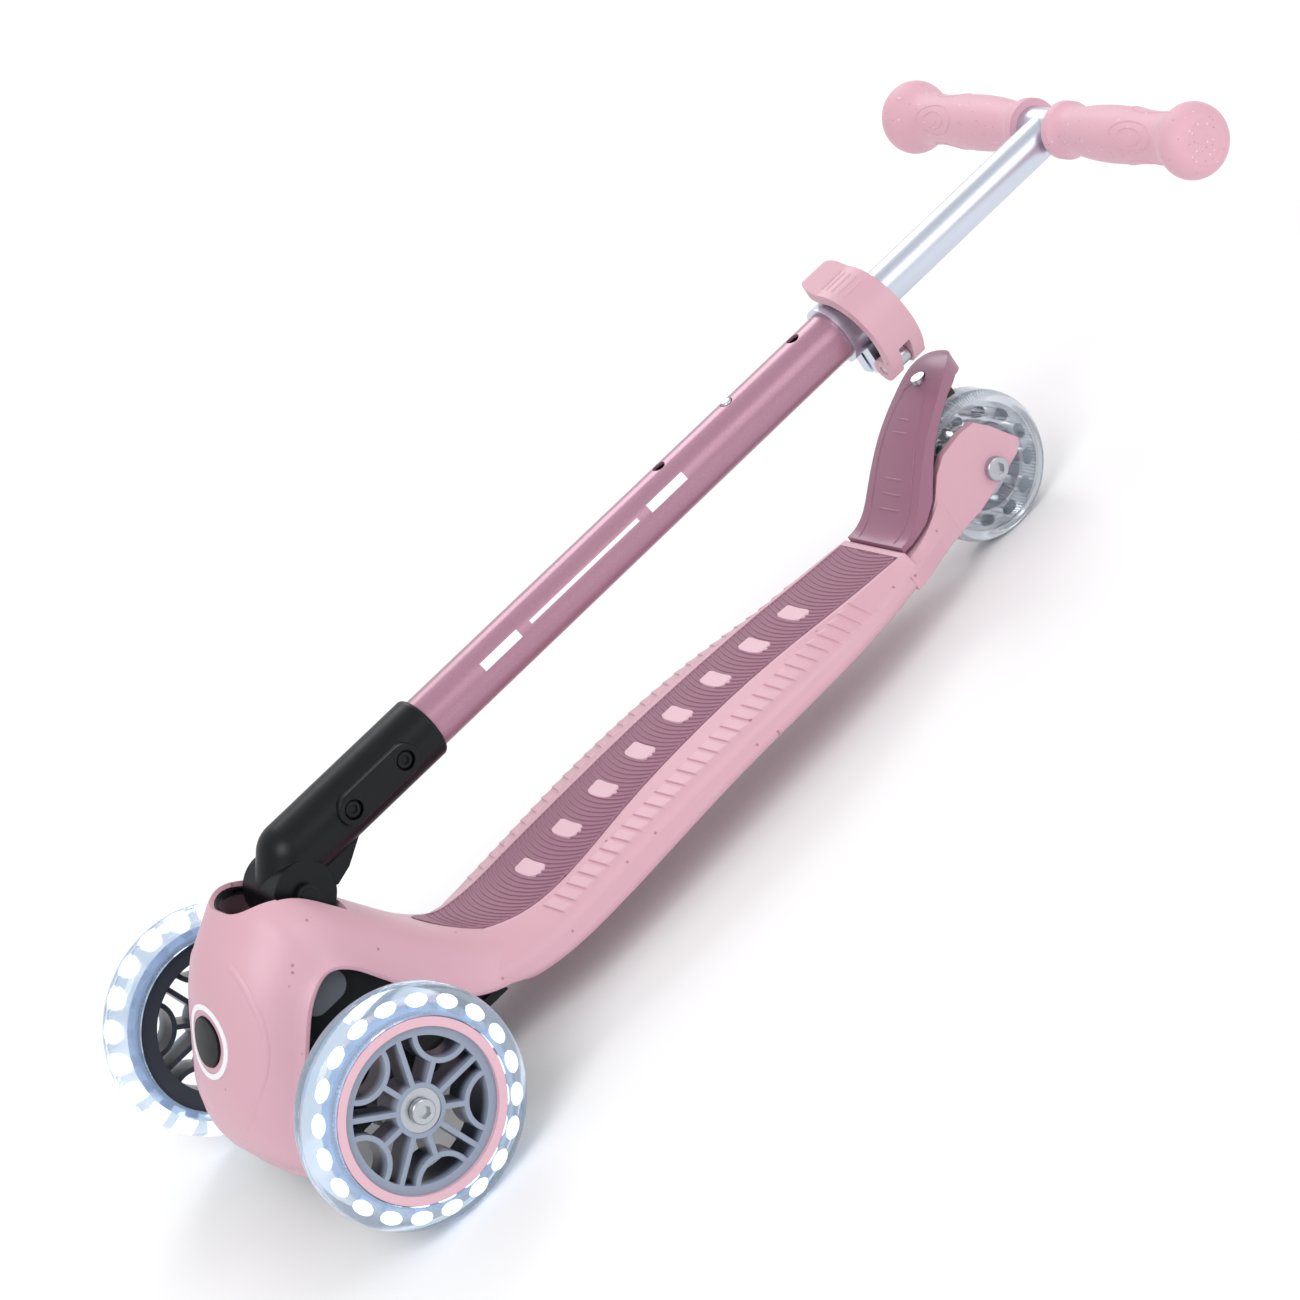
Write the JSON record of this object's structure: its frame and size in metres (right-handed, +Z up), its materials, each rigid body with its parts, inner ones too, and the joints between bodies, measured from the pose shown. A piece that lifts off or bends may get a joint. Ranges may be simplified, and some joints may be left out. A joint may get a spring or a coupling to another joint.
{
  "type": "kick scooter",
  "caption": "Folded child's kick scooter with leaning front steering, foot brake, light-up front wheels and a height-adjustable folding T-bar.",
  "frame": {"origin": "on the floor under the middle of the folded scooter's bounding box", "axes": "+X to the rider's left, front towards -Y, +Z up"},
  "size_m": [0.2716, 0.6984, 0.1782],
  "materials": {
    "pink_moulding": "satin moulded polypropylene",
    "tread_rubber": "soft ribbed rubber",
    "black_plastic": "matte glass-filled nylon",
    "grey_plastic": "satin grey plastic",
    "white_plastic": "gloss white print",
    "mauve_paint": "satin powder coat",
    "mauve_plastic": "satin moulded nylon",
    "bare_alu": "brushed anodised aluminium",
    "steel": "zinc-plated steel",
    "grip_rubber": "matte speckled rubber",
    "clear_tyre": "cast clear polyurethane",
    "lamp": "white diffused lamps",
    "hub_grey": "satin blue-grey nylon",
    "hub_smoke": "translucent smoke plastic",
    "brake_rubber": "moulded rubber"
  },
  "bodies": {
    "deck": {"deck_shell": "pink_moulding", "opening_liner": "black_plastic", "tread_mat": "tread_rubber", "front_chassis": "black_plastic", "chassis_screws": "steel", "lean_shaft": "steel", "kingpins": "steel", "centring_spring": "steel", "lock_ring": "white_plastic", "lock_spring": "steel", "fold_button_spring": "steel", "rear_axle_bolt": "steel", "rear_axle_nut": "steel", "rear_spacers": "steel", "brake_pin": "steel", "brake_spring": "steel"},
    "yoke": {"steering_yoke": "black_plastic", "yoke_bushes": "grey_plastic", "fold_pin": "steel"},
    "tbar": {"boot": "black_plastic", "boot_screws": "steel", "lower_tube": "mauve_paint", "tube_bush": "grey_plastic", "clamp_collar": "bare_alu", "clamp_bolt": "steel", "clamp_nut": "steel", "clamp_washer": "black_plastic", "clamp_pin": "steel"},
    "clamp_lever": {"clamp_lever": "pink_moulding"},
    "tbar_upper": {"upper_tube": "bare_alu", "cross_tube": "bare_alu", "grip_left": "grip_rubber", "grip_right": "grip_rubber"},
    "snap_button": {"snap_button": "steel"},
    "knuckle_left": {"knuckle_left": "black_plastic", "front_axle_left": "steel", "magnet_spindle_left": "steel"},
    "knuckle_right": {"knuckle_right": "black_plastic", "front_axle_right": "steel", "magnet_spindle_right": "steel"},
    "wheel_left": {"tyre_left": "clear_tyre", "led_ring_left": "lamp", "hub_left": "hub_grey", "trim_ring_left": "pink_moulding", "bearings_left": "steel"},
    "wheel_right": {"tyre_right": "clear_tyre", "led_ring_right": "lamp", "hub_right": "hub_grey", "trim_ring_right": "pink_moulding", "bearings_right": "steel"},
    "tie_rod": {"tie_rod": "black_plastic"},
    "rear_wheel": {"rear_tyre": "clear_tyre", "rear_hub": "hub_smoke", "rear_bearings": "steel"},
    "brake": {"brake_fender": "mauve_plastic", "brake_pad": "brake_rubber", "brake_screw": "steel"},
    "lock_button": {"lock_button": "black_plastic"},
    "fold_button": {"fold_button": "grey_plastic"}
  },
  "joints": [
    {"name": "lean", "type": "hinge", "parent": "deck", "child": "yoke", "pos_m": [0, -0.2546, 0.097], "axis": [0, 1, 0], "range_deg": [-5, 5], "stiffness_Nm_per_rad": 8},
    {"name": "fold", "type": "hinge", "parent": "yoke", "child": "tbar", "pos_m": [0, -0.2436, 0.136], "axis": [1, 0, 0], "range_deg": [0, 75]},
    {"name": "lever_open", "type": "hinge", "parent": "tbar", "child": "clamp_lever", "pos_m": [0.022, 0.1764, 0.126], "axis": [0, 1, 0], "range_deg": [0, 90]},
    {"name": "height", "type": "slide", "parent": "tbar", "child": "tbar_upper", "axis": [0, 1, 0], "range_m": [-0.05, 0.05]},
    {"name": "snap_press", "type": "slide", "parent": "tbar", "child": "snap_button", "axis": [0, 0, -1], "range_m": [0, 0.0025], "stiffness_N_per_m": 400, "springref_m": -0.002},
    {"name": "steer_left", "type": "hinge", "parent": "deck", "child": "knuckle_left", "pos_m": [0.07, -0.2886, 0.0605], "axis": [0, 0, 1], "range_deg": [-12, 12]},
    {"name": "steer_right", "type": "hinge", "parent": "deck", "child": "knuckle_right", "pos_m": [-0.07, -0.2886, 0.0605], "axis": [0, 0, 1], "range_deg": [-12, 12]},
    {"name": "tie_rod_shift", "type": "slide", "parent": "deck", "child": "tie_rod", "axis": [1, 0, 0], "range_m": [-0.006, 0.006]},
    {"name": "wheel_left_spin", "type": "hinge", "parent": "knuckle_left", "child": "wheel_left", "pos_m": [0.1057, -0.2886, 0.0605], "axis": [1, 0, 0], "continuous": true},
    {"name": "wheel_right_spin", "type": "hinge", "parent": "knuckle_right", "child": "wheel_right", "pos_m": [-0.1057, -0.2886, 0.0605], "axis": [1, 0, 0], "continuous": true},
    {"name": "rear_wheel_spin", "type": "hinge", "parent": "deck", "child": "rear_wheel", "pos_m": [0, 0.1874, 0.04], "axis": [1, 0, 0], "continuous": true},
    {"name": "brake_press", "type": "hinge", "parent": "deck", "child": "brake", "pos_m": [0, 0.1224, 0.037], "axis": [1, 0, 0], "range_deg": [-2, 0], "stiffness_Nm_per_rad": 15, "springref_deg": 3.44},
    {"name": "lock_press", "type": "slide", "parent": "deck", "child": "lock_button", "axis": [0, 0.848, -0.5299], "range_m": [0, 0.003], "stiffness_N_per_m": 500, "springref_m": -0.002},
    {"name": "fold_press", "type": "slide", "parent": "deck", "child": "fold_button", "axis": [-1, 0, 0], "range_m": [0, 0.003], "stiffness_N_per_m": 500, "springref_m": -0.002}
  ],
  "couplings": [
    {"joint": "steer_left", "follows": "lean", "ratio": 2.1},
    {"joint": "steer_right", "follows": "lean", "ratio": 2.1},
    {"joint": "tie_rod_shift", "follows": "lean", "m_per_rad": -0.0588}
  ]
}
